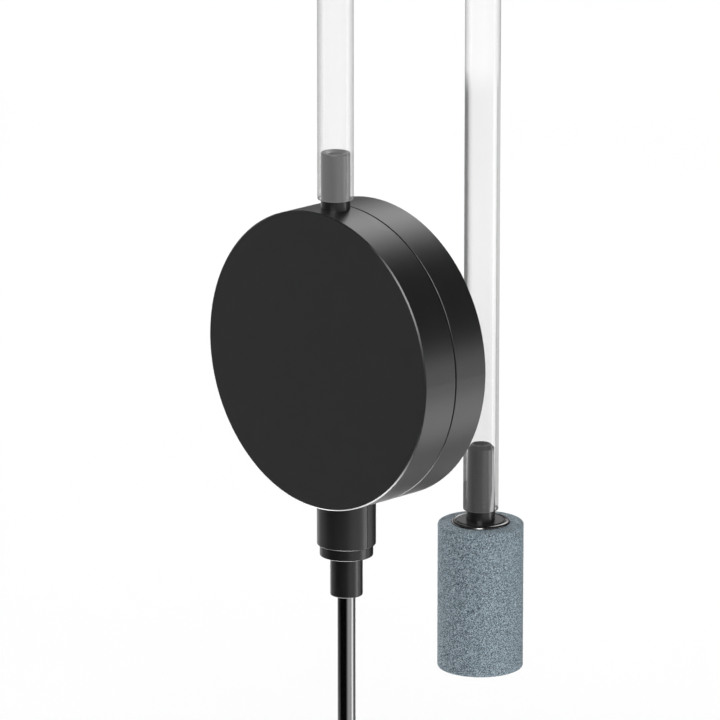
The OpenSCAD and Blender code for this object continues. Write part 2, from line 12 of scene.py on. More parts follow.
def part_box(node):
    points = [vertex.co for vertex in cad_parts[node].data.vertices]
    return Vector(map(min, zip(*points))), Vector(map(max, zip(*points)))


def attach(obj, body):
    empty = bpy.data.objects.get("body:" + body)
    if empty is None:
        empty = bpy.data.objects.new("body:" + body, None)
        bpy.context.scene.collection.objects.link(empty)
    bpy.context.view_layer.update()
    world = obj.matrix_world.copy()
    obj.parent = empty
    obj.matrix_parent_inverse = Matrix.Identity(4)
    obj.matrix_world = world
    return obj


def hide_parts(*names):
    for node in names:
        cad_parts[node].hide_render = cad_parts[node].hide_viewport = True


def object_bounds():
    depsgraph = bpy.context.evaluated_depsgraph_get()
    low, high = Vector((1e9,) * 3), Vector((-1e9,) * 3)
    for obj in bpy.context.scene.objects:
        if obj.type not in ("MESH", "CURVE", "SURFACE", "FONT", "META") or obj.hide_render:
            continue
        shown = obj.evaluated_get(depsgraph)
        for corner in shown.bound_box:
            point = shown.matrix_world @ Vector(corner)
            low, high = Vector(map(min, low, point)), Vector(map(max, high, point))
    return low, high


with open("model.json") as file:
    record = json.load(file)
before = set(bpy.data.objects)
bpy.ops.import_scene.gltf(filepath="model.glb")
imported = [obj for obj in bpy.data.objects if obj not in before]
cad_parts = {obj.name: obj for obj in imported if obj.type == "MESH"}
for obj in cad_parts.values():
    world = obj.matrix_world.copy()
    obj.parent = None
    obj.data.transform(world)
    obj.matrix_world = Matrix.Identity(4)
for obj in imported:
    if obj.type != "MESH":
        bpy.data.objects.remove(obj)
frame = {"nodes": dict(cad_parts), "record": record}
CAD_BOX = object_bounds()
NODES = frame["nodes"]
MM = 0.001

# Camera: the photograph's viewing angle, in degrees, millimetres and focal pixels
CAMERA_AZIMUTH = math.radians(44.665)
CAMERA_ELEVATION = math.radians(14.994)
CAMERA_DISTANCE = 1000 * MM
CAMERA_SHIFT = (1.994 * MM, -0.959 * MM)
FOCAL_PIXELS = 6847
FRAME_PIXELS = 720
SENSOR_MM = 36
CLIP_START, CLIP_END = 0.05, 50
MERGE_DISTANCE = 1e-7

# ---------------------------------------------------------------- mesh helpers


def vertices(name, keep=lambda v: True):
    """The places of a CAD node's vertices, in metres."""
    return [v.co.copy() for v in NODES[name].data.vertices if keep(v.co)]


def middle(name):
    """The centre of a CAD node's box."""
    low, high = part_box(name)
    return (low + high) / 2


def arc(cx, cy, r, start, end, steps=6):
    """Points on an arc, angles in degrees."""
    turn = [math.radians(start + (end - start) * i / steps) for i in range(steps + 1)]
    return [(cx + r * math.cos(t), cy + r * math.sin(t)) for t in turn]


def make_piece(name, bm, smooth_angle=35):
    """An object from a bmesh, smooth shaded except across sharp edges."""
    bmesh.ops.remove_doubles(bm, verts=bm.verts, dist=MERGE_DISTANCE)
    bmesh.ops.recalc_face_normals(bm, faces=bm.faces)
    mesh = bpy.data.meshes.new(name)
    bm.to_mesh(mesh)
    bm.free()
    mesh.polygons.foreach_set("use_smooth", [True] * len(mesh.polygons))
    mesh.set_sharp_from_angle(angle=math.radians(smooth_angle))
    piece = bpy.data.objects.new(name, mesh)
    bpy.context.scene.collection.objects.link(piece)
    return piece


def turned(bm, outline, place, steps=96, shape=None):
    """Adds a solid of revolution: outline is a closed list of (radius, height) points, and place
    turns a point whose axis is Z into the row frame. shape may move each point first."""
    rings = []
    for radius, height in outline:
        ring = []
        for i in range(steps):
            a = 2 * math.pi * i / steps
            point = Vector((radius * math.cos(a), radius * math.sin(a), height))
            ring.append(bm.verts.new(place @ (shape(point) if shape else point)))
        rings.append(ring)
    for one, two in zip(rings, rings[1:] + rings[:1]):
        for i in range(steps):
            j = (i + 1) % steps
            bm.faces.new((one[i], one[j], two[j], two[i]))


def swept(bm, sections):
    """Adds a skin through closed rings of points and returns its faces."""
    rings = [[bm.verts.new(p) for p in ring] for ring in sections]
    faces = []
    for one, two in zip(rings, rings[1:]):
        for i in range(len(one)):
            j = (i + 1) % len(one)
            faces.append(bm.faces.new((one[i], one[j], two[j], two[i])))
    return faces


def use(material, *objects):
    """Gives objects one material in place of what they had."""
    for o in objects:
        o.data.materials.clear()
        o.data.materials.append(material)


# ------------------------------------------------------------ material helpers


def node(tree, kind, inputs=None, out=0, **properties):
    """Adds a node, sets its properties and its inputs (a value or another node's output), and
    returns one of its outputs."""
    made = tree.nodes.new(kind)
    for key, value in properties.items():
        setattr(made, key, value)
    for key, value in (inputs or {}).items():
        if isinstance(value, bpy.types.NodeSocket):
            tree.links.new(value, made.inputs[key])
        else:
            made.inputs[key].default_value = value
    return made.outputs[out]


def new_material(name):
    """An empty node material and its tree."""
    material = bpy.data.materials.new(name)
    material.use_nodes = True
    material.node_tree.nodes.clear()
    return material, material.node_tree


def finish_material(tree, surface):
    """Links a shader to the material's output."""
    output = tree.nodes.new("ShaderNodeOutputMaterial")
    tree.links.new(surface, output.inputs["Surface"])


def place(tree, stretch=(1, 1, 1)):
    """Object coordinates, which are metres in the row frame, stretched along each axis."""
    where = node(tree, "ShaderNodeTexCoord", out="Object")
    return node(tree, "ShaderNodeMapping", {"Vector": where, "Scale": stretch})


def grain(tree, size, detail=3, stretch=(1, 1, 1), rough=0.5):
    """Noise from 0 to 1 whose features measure about size, in metres."""
    return node(tree, "ShaderNodeTexNoise", {
        "Vector": place(tree, stretch), "Scale": 1 / size, "Detail": detail, "Roughness": rough})


def spread(tree, value, low, high, from_low=0.3, from_high=0.7):
    """Maps a value to a range, clamped."""
    return node(tree, "ShaderNodeMapRange", {
        "Value": value, "From Min": from_low, "From Max": from_high, "To Min": low, "To Max": high})


def maths(tree, operation, a, b=0.0):
    """One arithmetic step on values or node outputs."""
    return node(tree, "ShaderNodeMath", {0: a, 1: b}, operation=operation)


def mix_colour(tree, factor, one, two):
    """A colour between one and two, each given as (r, g, b)."""
    made = tree.nodes.new("ShaderNodeMixRGB")
    for key, value in (("Fac", factor), ("Color1", one), ("Color2", two)):
        if isinstance(value, bpy.types.NodeSocket):
            tree.links.new(value, made.inputs[key])
        elif key == "Fac":
            made.inputs[key].default_value = value
        else:
            made.inputs[key].default_value = (*value, 1)
    return made.outputs["Color"]


def edge_mask(tree, radius):
    """1 on sharp edges and 0 on open surfaces."""
    rounded = node(tree, "ShaderNodeBevel", {"Radius": radius}, samples=4)
    true = node(tree, "ShaderNodeNewGeometry", out="Normal")
    same = node(tree, "ShaderNodeVectorMath", {0: rounded, 1: true}, out="Value",
                operation="DOT_PRODUCT")
    return spread(tree, same, 1, 0, 0.75, 0.98)


def moulded(name, colour, rough, texture=0.3 * MM, bump=0.05, mottle=0.15, rough_play=0.06,
            metallic=0.0, wear=0.0, sheen=0.0, stretch=(1, 1, 1), ior=1.5, edge=0.25 * MM):
    """A procedural finish: fine texture, faint mottling, uneven gloss, and lighter edges."""
    material, tree = new_material(name)
    fine = grain(tree, texture, stretch=stretch)
    broad = grain(tree, 14 * texture, detail=4, stretch=stretch)
    darker = tuple(c * (1 - mottle) for c in colour)
    lighter = tuple(min(1, c * (1 + mottle)) for c in colour)
    base = mix_colour(tree, spread(tree, broad, 0, 1), darker, lighter)
    gloss = spread(tree, broad, rough - rough_play, rough + rough_play)
    if wear:
        mask = maths(tree, "MULTIPLY", edge_mask(tree, edge), spread(tree, broad, 0.3, 1))
        worn = tuple(min(1, c + wear) for c in colour)
        base = mix_colour(tree, mask, base, worn)
    relief = node(tree, "ShaderNodeBump", {
        "Height": fine, "Strength": bump, "Distance": texture}, out="Normal")
    surface = node(tree, "ShaderNodeBsdfPrincipled", {
        "Base Color": base, "Roughness": gloss, "Metallic": metallic, "IOR": ior,
        "Sheen Weight": sheen, "Normal": relief})
    finish_material(tree, surface)
    return material


def glance(tree):
    """1 where a surface faces the viewer and 0 where it is seen edge on."""
    normal = node(tree, "ShaderNodeNewGeometry", out="Normal")
    view = node(tree, "ShaderNodeNewGeometry", out="Incoming")
    facing = node(tree, "ShaderNodeVectorMath", {0: normal, 1: view}, out="Value",
                  operation="DOT_PRODUCT")
    return maths(tree, "ABSOLUTE", facing)


def stops(tree, value, *pairs):
    """A grey level read from a value through (value, level) pairs."""
    made = tree.nodes.new("ShaderNodeValToRGB")
    tree.links.new(value, made.inputs["Fac"])
    ramp = made.color_ramp
    while len(ramp.elements) < len(pairs):
        ramp.elements.new(1)
    for element, (at, level) in zip(ramp.elements, pairs):
        element.position = at
        element.color = (level, level, level, 1)
    return made.outputs["Color"]


# The hose along Y, from its front leg to its rear leg, and the tank's water line along Z
FRONT_LEG_Y, REAR_LEG_Y = -17 * MM, 14 * MM
WATER_LOW, WATER_HIGH = 34 * MM, 38 * MM
# Light that passes the hose's wall, as (facing, level) pairs from edge on (0) to face on (1): the
# front leg, the rear leg above the water line, and its left and right sides below it. Towards edge
# on the level falls, painted shade for light the wall bends; below the water line the left side
# holds more painted shade and the right side a painted highlight
FRONT_WALL = ((0.0, 0.46), (0.28, 0.64), (0.47, 0.76), (0.60, 0.855), (0.69, 0.92), (0.78, 0.95),
              (1.0, 0.962))
DRY_WALL = ((0.0, 0.46), (0.28, 0.70), (0.47, 0.85), (0.60, 0.95), (0.69, 0.98), (1.0, 0.995))
UNDERWATER_PAINTED_SHADE_LEFT = ((0.0, 0.34), (0.50, 0.36), (0.56, 0.52), (0.62, 0.69), (0.70, 0.81),
               (0.765, 0.87), (0.82, 0.92), (0.90, 0.935))
UNDERWATER_PAINTED_LIGHT_RIGHT = ((0.0, 0.68), (0.40, 0.80), (0.50, 0.72), (0.56, 0.76), (0.61, 0.98),
                (0.74, 1.0), (0.79, 0.96), (0.90, 0.935))
# A painted highlight: a bright line where the wall bends light beside a nozzle, as (facing, level)
# pairs
NOZZLE_LENS = ((0.0, 0.0), (0.58, 0.0), (0.63, 1.0), (0.72, 1.0), (0.77, 0.0))
NOZZLE_REACH = 0.9 * MM
LIP_COLOUR = (0.05, 0.05, 0.05)


def hose_wall(name, front_foot, rear_foot):
    """The outside of the clear tube: light passes straight through, with a faint milky haze that
    glows as painted light and is stronger in the front leg, while below the water line the rear
    leg gets painted shade, darker towards the bottom and on its left, and a painted highlight on
    its right. The wall darkens at its cut ends, and where it is seen edge on, painted shade for
    light the wall bends, more so beside a nozzle that shows through it. The front leg's right side
    gets painted light, and a painted highlight runs beside each nozzle."""
    material, tree = new_material(name)
    facing = glance(tree)
    where = place(tree)
    along = node(tree, "ShaderNodeSeparateXYZ", {"Vector": where}, out="Y")
    height = node(tree, "ShaderNodeSeparateXYZ", {"Vector": where}, out="Z")
    normal = node(tree, "ShaderNodeNewGeometry", out="Normal")
    side = node(tree, "ShaderNodeVectorMath", {0: normal, 1: toward(90, 0)}, out="Value",
                operation="DOT_PRODUCT")
    far_wall = node(tree, "ShaderNodeNewGeometry", out="Backfacing")
    side = maths(tree, "MULTIPLY", side, spread(tree, far_wall, 1, -1, 0, 1))
    streaks = grain(tree, 0.9 * MM, detail=2, stretch=(1, 1, 0.03))
    far_leg = spread(tree, along, 0, 1, FRONT_LEG_Y, REAR_LEG_Y)
    # Painted shade: occlusion finds a nozzle just inside the wall, and the wall darkens beside it.
    open_air = node(tree, "ShaderNodeAmbientOcclusion", {"Distance": NOZZLE_REACH}, out="AO",
                    samples=6, inside=True)
    beside = spread(tree, open_air, 1, 0, 0.50, 0.95)

    # Painted glow: the haze is emitted light, the same whatever light falls on it.
    painted_haze_glow = spread(tree, far_leg, 0.135, 0.050, 0, 1)
    painted_haze_glow = maths(tree, "ADD", painted_haze_glow, spread(tree, streaks, -0.010, 0.010))
    # Painted highlight: a bright line beside a nozzle, added to the glow.
    lens = stops(tree, facing, *NOZZLE_LENS)
    lens = maths(tree, "MULTIPLY", lens, spread(tree, side, 0, 1, 0.3, 0.6))
    lens = maths(tree, "MULTIPLY", lens, beside)
    painted_haze_glow = maths(tree, "ADD", painted_haze_glow, maths(tree, "MULTIPLY", lens, spread(
        tree, far_leg, 0.12, 0.42, 0, 1)))

    # The ramps fall towards edge on: painted shade for light the wall bends, with a little real
    # absorption.
    front_leg = stops(tree, facing, *FRONT_WALL)
    # Painted light: the front leg's right side is made lighter.
    painted_lit_side = spread(tree, side, 1.0, 1.06, 0.58, 0.74)
    front_leg = maths(tree, "MULTIPLY", front_leg, painted_lit_side)
    dry = stops(tree, facing, *DRY_WALL)
    # Painted shade and highlight below the water line, darker towards the bottom.
    painted_underwater_light = mix_colour(
        tree, spread(tree, side, 0, 1, -0.15, 0.15),
        stops(tree, facing, *UNDERWATER_PAINTED_SHADE_LEFT),
        stops(tree, facing, *UNDERWATER_PAINTED_LIGHT_RIGHT))
    painted_underwater_light = maths(tree, "MULTIPLY", painted_underwater_light, spread(tree, height, 0.955, 1.0, -8 * MM, 10 * MM))
    below_water = spread(tree, height, 1, 0, WATER_LOW, WATER_HIGH)
    through = mix_colour(tree, far_leg, front_leg, mix_colour(tree, below_water, dry, painted_underwater_light))
    # Painted shade beside a nozzle, where the wall is seen edge on.
    edge = spread(tree, facing, 1, 0, 0.50, 0.64)
    shade = spread(tree, far_leg, 0.88, 0.93, 0, 1)
    weight = maths(tree, "MULTIPLY", edge, beside)
    through = mix_colour(tree, weight, through, maths(tree, "MULTIPLY", through, shade))
    foot = spread(tree, far_leg, front_foot, rear_foot, 0, 1)
    rise = maths(tree, "SUBTRACT", height, foot)
    lip = maths(tree, "MULTIPLY", edge, spread(tree, rise, 0.72, 0, 0.10 * MM, 0.28 * MM))
    through = mix_colour(tree, lip, through, LIP_COLOUR)
    passed = node(tree, "ShaderNodeBsdfTransparent", {"Color": through})
    relief = node(tree, "ShaderNodeBump", {
        "Height": streaks, "Strength": 0.05, "Distance": 0.2 * MM}, out="Normal")
    gloss = node(tree, "ShaderNodeBsdfGlossy", {"Roughness": 0.1, "Normal": relief})
    shine = stops(tree, facing, (0.0, 0.10), (0.3, 0.04), (1.0, 0.008))
    skin = node(tree, "ShaderNodeMixShader", {0: shine, 1: passed, 2: gloss})
    # The haze's glow: painted light emitted by the wall.
    cloud = node(tree, "ShaderNodeEmission", {"Color": (0.93, 0.93, 0.93, 1)})
    finish_material(tree, node(tree, "ShaderNodeMixShader", {0: painted_haze_glow, 1: skin, 2: cloud}))
    return material


def hose_bore(name):
    """The inside of the clear tube, which shows only where it is seen edge on, as a faint line of
    painted shade.
    """
    material, tree = new_material(name)
    streaks = grain(tree, 0.6 * MM, detail=2, stretch=(1, 1, 0.03))
    line = stops(tree, glance(tree), (0.0, 0.975), (0.22, 0.998), (1.0, 1.0))
    line = maths(tree, "MULTIPLY", line, spread(tree, streaks, 0.992, 1.0))
    finish_material(tree, node(tree, "ShaderNodeBsdfTransparent", {"Color": line}))
    return material


def soft_pvc(name):
    """Clear, slightly smoky PVC of the suction cup, thick enough to cloud the light."""
    material, tree = new_material(name)
    cloud = grain(tree, 3 * MM, detail=3)
    colour = mix_colour(tree, spread(tree, cloud, 0, 1), (0.60, 0.65, 0.67), (0.72, 0.76, 0.78))
    through = node(tree, "ShaderNodeBsdfTransparent", {"Color": (0.80, 0.84, 0.86, 1)})
    glow = node(tree, "ShaderNodeBsdfTranslucent", {"Color": colour})
    face = node(tree, "ShaderNodeBsdfDiffuse", {"Color": colour})
    body = node(tree, "ShaderNodeMixShader", {0: 0.5, 1: glow, 2: face})
    facing = node(tree, "ShaderNodeLayerWeight", {"Blend": 0.5}, out="Facing")
    cloudy = spread(tree, facing, 0.22, 0.75, 0.1, 1.0)
    mixed = node(tree, "ShaderNodeMixShader", {0: cloudy, 1: through, 2: body})
    relief = node(tree, "ShaderNodeBump", {
        "Height": grain(tree, 0.8 * MM), "Strength": 0.04, "Distance": 0.2 * MM}, out="Normal")
    gloss = node(tree, "ShaderNodeBsdfGlossy", {"Roughness": 0.14, "Normal": relief})
    bounce = node(tree, "ShaderNodeFresnel", {"IOR": 1.5, "Normal": relief})
    surface = node(tree, "ShaderNodeMixShader", {0: bounce, 1: mixed, 2: gloss})
    finish_material(tree, surface)
    return material


STONE_DARK = (0.037, 0.054, 0.067)
STONE_PALE = (0.268, 0.340, 0.388)
STONE_SPARK = (0.66, 0.74, 0.77)
STONE_PORE = (0.014, 0.020, 0.024)
# Painted shade: glossy rays see the stone near black.
STONE_PAINTED_SHADE = (0.012, 0.012, 0.012)  # its side towards the disc, seen only in the disc's gloss


def sintered(name):
    """Fused mineral grains: pale and dark grains a fifth of a millimetre across, with pores."""
    material, tree = new_material(name)
    cells = node(tree, "ShaderNodeTexVoronoi", {
        "Vector": place(tree), "Scale": 1 / (0.13 * MM), "Randomness": 1.0}, out="Color")
    shade = node(tree, "ShaderNodeSeparateColor", {"Color": cells}, out="Red")
    dust = grain(tree, 0.14 * MM, detail=2, rough=0.6)
    cloud = grain(tree, 4 * MM, detail=3)
    base = mix_colour(tree, spread(tree, shade, 0, 1, 0.1, 0.9), STONE_DARK, STONE_PALE)
    base = mix_colour(tree, spread(tree, dust, 0, 0.8, 0.56, 0.70), base, STONE_SPARK)
    base = mix_colour(tree, spread(tree, dust, 0.85, 0, 0.32, 0.46), base, STONE_PORE)
    base = mix_colour(tree, spread(tree, cloud, 0, 0.08), base, STONE_PALE)
    # Painted shade: in glossy rays the stone turns dark.
    mirrored = node(tree, "ShaderNodeLightPath", out="Is Glossy Ray")
    base = mix_colour(tree, mirrored, base, STONE_PAINTED_SHADE)
    relief = node(tree, "ShaderNodeBump", {
        "Height": dust, "Strength": 0.6, "Distance": 0.06 * MM}, out="Normal")
    surface = node(tree, "ShaderNodeBsdfPrincipled", {
        "Base Color": base, "Roughness": spread(tree, dust, 0.95, 0.6), "IOR": 1.35,
        "Normal": relief})
    finish_material(tree, surface)
    return material


# ------------------------------------------------------------------- materials

BLACK = (0.0116, 0.0116, 0.0119)
housing_black = moulded("housing_black", BLACK, 0.33, 0.14 * MM, bump=0.03, mottle=0.05,
                        rough_play=0.01)
housing_rear = moulded("housing_black_rear", BLACK, 0.33, 0.14 * MM, bump=0.035, mottle=0.05,
                       rough_play=0.01)
grommet_black = moulded("grommet_black", (0.0075, 0.0075, 0.0077), 0.30, 0.2 * MM, bump=0.01,
                        mottle=0.05, rough_play=0.01)
cable_black = moulded("cable_black", (0.0015, 0.0015, 0.0016), 0.09, 0.9 * MM, bump=0.004,
                      rough_play=0.01, ior=3.0)
fitting_black = moulded("fitting_black", (0.014, 0.014, 0.0145), 0.27, 0.25 * MM, bump=0.01,
                        mottle=0.04, rough_play=0.005)
washer_black = moulded("washer_black", (0.008, 0.008, 0.0085), 0.14, 0.5 * MM, bump=0.02,
                       rough_play=0.01, ior=2.6)
steel = moulded("steel", (0.55, 0.55, 0.57), 0.32, 0.12 * MM, bump=0.12, metallic=1.0, wear=0.2,
                stretch=(1, 0.2, 1), edge=0.1 * MM)
copper = moulded("copper", (0.80, 0.38, 0.20), 0.25, 0.1 * MM, bump=0.08, metallic=1.0)
insulation = moulded("core_insulation", (0.30, 0.085, 0.035), 0.3, 0.3 * MM, bump=0.03)
finishes = {
    "pump_plastic": moulded("pump_plastic", (0.62, 0.61, 0.55), 0.45, 0.3 * MM, wear=0.1),
    "silicone_red": moulded("silicone_red", (0.42, 0.09, 0.05), 0.5, 0.4 * MM, bump=0.1),
    "valve_rubber": moulded("valve_rubber", (0.10, 0.11, 0.12), 0.55, 0.2 * MM, bump=0.1),
    "soft_rubber": moulded("soft_rubber", (0.05, 0.05, 0.055), 0.6, 0.3 * MM, bump=0.12),
    "brass_plate": moulded("brass_plate", (0.68, 0.48, 0.18), 0.28, 0.15 * MM, bump=0.1,
                           metallic=1.0, stretch=(1, 1, 0.1)),
    "piezo_ceramic": moulded("piezo_ceramic", (0.70, 0.69, 0.64), 0.4, 0.1 * MM, bump=0.15),
    "clamp_plastic": moulded("clamp_plastic", (0.045, 0.047, 0.05), 0.5, 0.2 * MM, bump=0.15),
    "foam": moulded("foam", (0.08, 0.08, 0.09), 0.95, 0.35 * MM, bump=0.9, mottle=0.35),
    "board_green": moulded("board_green", (0.02, 0.12, 0.05), 0.22, 0.5 * MM, bump=0.06),
    "chip_black": moulded("chip_black", (0.028, 0.028, 0.028), 0.6, 0.1 * MM, bump=0.2),
    "ferrite": moulded("ferrite", (0.08, 0.08, 0.085), 0.55, 0.12 * MM, bump=0.3),
    "capacitor_can": moulded("capacitor_can", (0.66, 0.67, 0.69), 0.3, 0.1 * MM, bump=0.08,
                             metallic=1.0, stretch=(1, 0.1, 1)),
    "chip_ceramic": moulded("chip_ceramic", (0.42, 0.31, 0.19), 0.5, 0.1 * MM, bump=0.2),
    "solder": moulded("solder", (0.66, 0.66, 0.69), 0.25, 0.2 * MM, bump=0.2, metallic=1.0),
    "lead_insulation": moulded("lead_insulation", (0.5, 0.03, 0.02), 0.35, 0.3 * MM),
    "felt": moulded("felt", (0.60, 0.60, 0.56), 0.95, 0.12 * MM, bump=0.9, sheen=0.5),
    "housing_black": housing_black, "housing_black_rear": housing_rear,
    "grommet_black": grommet_black, "cable_black": cable_black,
    "fitting_black": fitting_black, "washer_black": washer_black,
    "steel": steel, "copper": copper, "core_insulation": insulation,
}
for part in frame["record"]["subparts"]:
    if part["material_slot"] in finishes:
        use(finishes[part["material_slot"]], NODES[part["node"]])


# ------------------------------------------------------------------------ hose


def hose():
    """The clear hose: two straight legs and a bend, with a true wall and softly rounded ends."""
    low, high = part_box("air_hose")
    radius = (high.x - low.x) / 2
    front, rear = low.y + radius, high.y - radius
    reach = (rear - front) / 2
    bend_z = high.z - radius - reach
    across = (front + rear) / 2
    front_foot = min(v.z for v in vertices("air_hose", lambda v: v.y < across))
    bore = min(math.hypot(v.x, v.y - rear)
               for v in vertices("air_hose", lambda v: v.y > across and v.z < bend_z))
    steps_up, steps_round, sides = 24, 72, 64
    spine = [(front, front_foot + (bend_z - front_foot) * i / steps_up, 0.0)
             for i in range(steps_up)]
    spine += [(across - reach * math.cos(t), bend_z + reach * math.sin(t), t)
              for t in (math.pi * i / steps_round for i in range(steps_round + 1))]
    spine += [(rear, bend_z + (low.z - bend_z) * i / steps_up, math.pi)
              for i in range(1, steps_up + 1)]

    def ring(index, r, along=0.0):
        """A ring of the skin at a point of the spine, a little flattened in the bend."""
        y, z, turn = spine[index]
        squeeze = 0.03 * math.sin(turn)
        out = Vector((0, -math.cos(turn), math.sin(turn)))
        ahead = Vector((0, math.sin(turn), math.cos(turn)))
        centre = Vector((0, y, z)) + ahead * along
        angles = [2 * math.pi * i / sides for i in range(sides)]
        return [centre + Vector((r * (1 + squeeze) * math.cos(a), 0, 0))
                + out * r * (1 - squeeze) * math.sin(a) for a in angles]

    last = len(spine) - 1
    lip = 0.08 * MM
    soften = [(radius, lip), (radius - 0.3 * lip, 0.3 * lip), (radius - lip, 0)]
    soften += [(bore + lip, 0), (bore + 0.3 * lip, 0.3 * lip), (bore, lip)]
    bm = bmesh.new()
    swept(bm, [ring(0, r, a) for r, a in reversed(soften[:3])]
          + [ring(i, radius) for i in range(1, last)]
          + [ring(last, r, -a) for r, a in soften[:3]])
    swept(bm, [ring(0, r, a) for r, a in soften[2:4]])
    swept(bm, [ring(last, r, -a) for r, a in soften[2:4]])
    inner = swept(bm, [ring(0, r, a) for r, a in soften[3:]]
                  + [ring(i, bore) for i in range(1, last)]
                  + [ring(last, r, -a) for r, a in reversed(soften[3:])])
    for face in inner:
        face.material_index = 1
    piece = make_piece("hose_clear_tube", bm, smooth_angle=60)
    clear_wall = hose_wall("hose_clear", front_foot, low.z)
    for material in (clear_wall, hose_bore("hose_bore")):
        piece.data.materials.append(material)
    piece.visible_glossy = False
    piece.visible_diffuse = False
    piece.visible_shadow = False
    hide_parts("air_hose")
    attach(piece, "hose")


# ----------------------------------------------------------------------- stone


def stone():
    """The porous stone: a cylinder whose skin is pushed in and out by its grains and pores."""
    low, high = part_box("air_stone")
    centre = middle("air_stone")
    radius = (high.x - low.x) / 2
    around = vertices("air_stone", lambda v: v.z > high.z - 0.05 * MM)
    bore = min(math.hypot(v.x - centre.x, v.y - centre.y) for v in around)
    bore_end = min(v.z for v in vertices("air_stone", lambda v: v.z > low.z + MM and math.hypot(
        v.x - centre.x, v.y - centre.y) < bore + 0.1 * MM))
    cell = 0.17 * MM
    rim = 0.3 * MM
    steps = round(2 * math.pi * radius / cell)

    def line(a, b):
        """Points from a towards b, one cell apart, without b."""
        count = max(1, round(math.hypot(b[0] - a[0], b[1] - a[1]) / cell))
        return [(a[0] + (b[0] - a[0]) * i / count, a[1] + (b[1] - a[1]) * i / count)
                for i in range(count)]

    lower = arc(radius - rim, low.z + rim, rim, -90, 0, 5)
    upper = arc(radius - rim, high.z - rim, rim, 0, 90, 5)
    outline = line((cell, low.z), lower[0]) + lower[:-1] + line(lower[-1], upper[0])
    outline += upper[:-1] + line(upper[-1], (bore + 0.1 * MM, high.z))
    outline += [(bore + 0.1 * MM, high.z), (bore, high.z - 0.1 * MM), (bore, bore_end)]
    outline += [(cell, bore_end)]

    bm = bmesh.new()
    turned(bm, outline, Matrix.Translation((centre.x, centre.y, 0)), steps)
    bmesh.ops.remove_doubles(bm, verts=bm.verts, dist=MERGE_DISTANCE)
    bm.normal_update()
    grain_size, depth = 0.34 * MM, 0.05 * MM
    for v in bm.verts:
        off_axis = math.hypot(v.co.x - centre.x, v.co.y - centre.y)
        if off_axis < bore + 0.2 * MM:
            continue
        near = noise.voronoi(v.co / grain_size)[0]
        bump = 0.55 - near[0] + 0.35 * noise.noise(v.co / (0.9 * MM))
        outward = Vector((v.co.x - centre.x, v.co.y - centre.y, 0)).normalized()
        if v.co.z > high.z - 1e-6:
            outward = Vector((0, 0, 1))
        elif v.co.z < low.z + 1e-6:
            outward = Vector((0, 0, -1))
        v.co += outward * depth * min(bump, 0.35)
    piece = make_piece("porous_air_stone", bm, smooth_angle=180)
    use(sintered("porous_stone"), piece)
    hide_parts("air_stone")
    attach(piece, "stone")


# ----------------------------------------------------------------- suction cup


def suction_cup():
    """The soft cup: knob, neck, bell with moulded rings, and a thin lip on the glass."""
    low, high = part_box("suction_cup")
    axis = middle("suction_cup")
    lip_r = (high.x - low.x) / 2
    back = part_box("rear_housing")[1].y
    neck_r = min(math.hypot(v.x, v.z - axis.z)
                 for v in vertices("suction_cup",
                                   lambda v: back - 0.9 * MM < v.y < back + 0.2 * MM))
    knob_r = max(math.hypot(v.x, v.z - axis.z)
                 for v in vertices("suction_cup", lambda v: v.y < low.y + 1.6 * MM))
    knob_y = low.y
    shelf_y = back - 1.15 * MM
    shoulder_y = back + 0.05 * MM
    shoulder_r = 4.2 * MM
    bell_y = shoulder_y + 1.3 * MM
    lip_y = high.y
    hollow_depth = 3.6 * MM
    bell_steps, hollow_steps = 48, 30

    def bell(t):
        """The outside of the bell, from its shoulder (0) to the lip (1), with two faint rings."""
        r = shoulder_r + (lip_r - shoulder_r) * math.sin(math.pi / 2 * t) ** 1.15
        y = bell_y + (lip_y - 0.55 * MM - bell_y) * (1 - math.cos(math.pi / 2 * t))
        ringing = 0.10 * MM * sum(math.exp(-((t - c) / 0.03) ** 2) for c in (0.42, 0.68))
        return (r, y - ringing)

    def hollow(t):
        """The inside of the bell, from the lip (1) to its centre (0)."""
        return ((lip_r - 0.8 * MM) * t, lip_y - hollow_depth * (1 - t * t))

    outline = [(1e-6, knob_y)]
    outline += arc(knob_r - 0.5 * MM, knob_y + 0.5 * MM, 0.5 * MM, -90, 0)
    outline += arc(knob_r - 0.25 * MM, shelf_y - 0.25 * MM, 0.25 * MM, 0, 90, 4)
    outline += [(neck_r + 0.1 * MM, shelf_y), (neck_r, shelf_y + 0.1 * MM)]
    outline += [(neck_r, shoulder_y)]
    outline += arc(shoulder_r - 0.3 * MM, shoulder_y + 0.3 * MM, 0.3 * MM, -90, 0, 4)
    outline += [bell(i / bell_steps) for i in range(bell_steps + 1)]
    outline += arc(lip_r - 0.3 * MM, lip_y - 0.3 * MM, 0.3 * MM, 0, 90, 5)
    outline += [hollow(1 - i / hollow_steps) for i in range(hollow_steps)]
    outline += [(1e-6, lip_y - hollow_depth)]
    along_y = Matrix.Translation((axis.x, 0, axis.z)) @ Matrix.Rotation(-math.pi / 2, 4, "X")
    bm = bmesh.new()
    turned(bm, outline, along_y, 128)
    piece = make_piece("suction_cup_soft", bm, smooth_angle=50)
    use(soft_pvc("cup_pvc"), piece)
    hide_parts("suction_cup")
    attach(piece, "pump")


# ----------------------------------------------------------------------- cable


